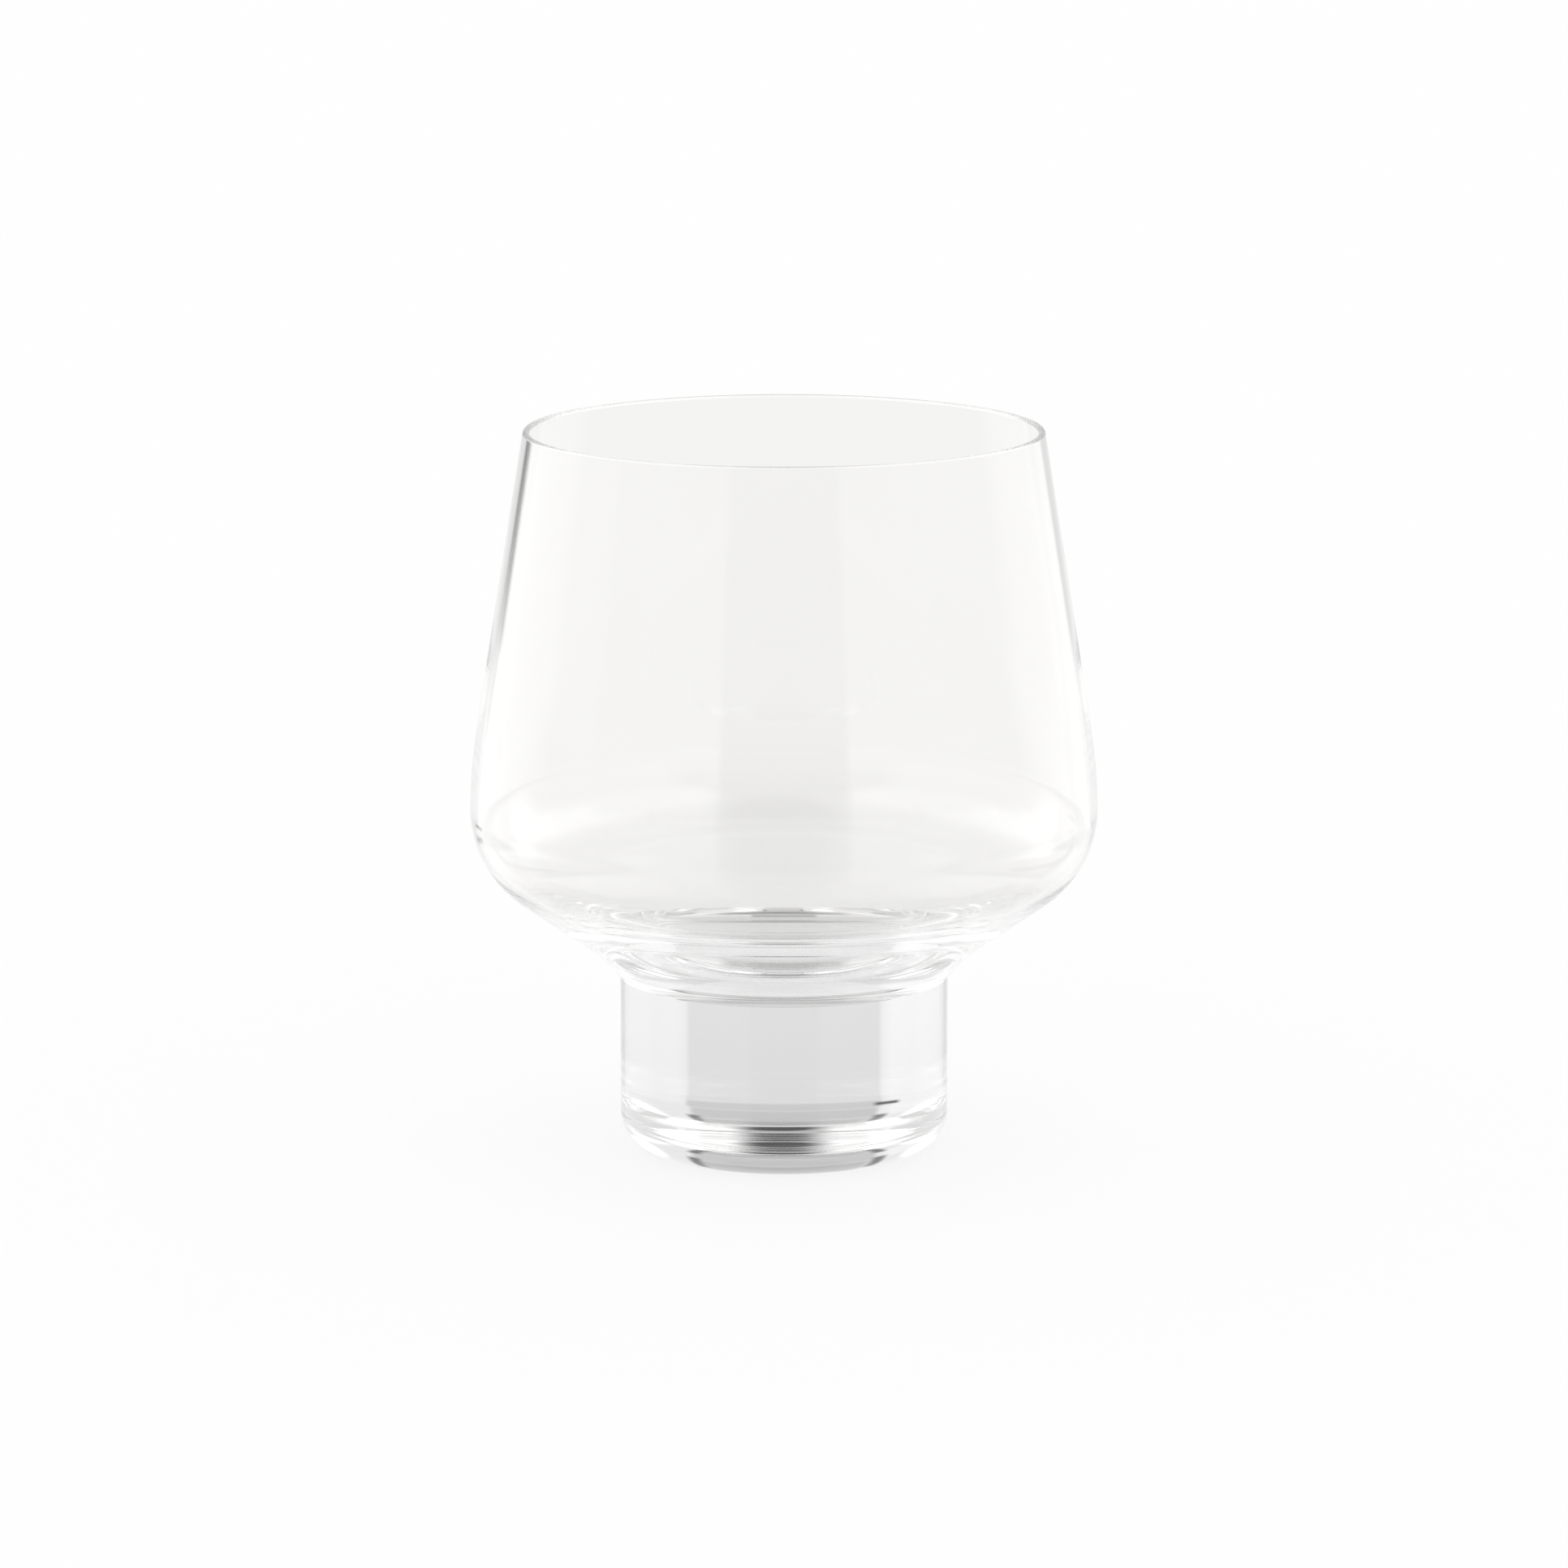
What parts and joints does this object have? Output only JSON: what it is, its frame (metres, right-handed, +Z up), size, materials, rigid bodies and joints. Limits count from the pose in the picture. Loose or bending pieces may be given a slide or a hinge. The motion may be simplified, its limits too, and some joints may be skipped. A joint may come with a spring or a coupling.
{
  "type": "cognac glass",
  "caption": "Cognac glass of clear glass: a thin blown bowl with a wide, low belly draws in to a plain fire-polished rim and stands on a short, thick, solid round foot.",
  "frame": {"origin": "middle of the standing face under the foot, on the glass's axis", "axes": "+Z up along the axis of revolution, from the standing face to the rim; X and Y are alike"},
  "size_m": [0.088, 0.088, 0.102],
  "materials": {
    "clear_glass": "clear, fire polished"
  },
  "bodies": {
    "root": {"bowl": "clear_glass", "foot": "clear_glass"}
  },
  "joints": []
}
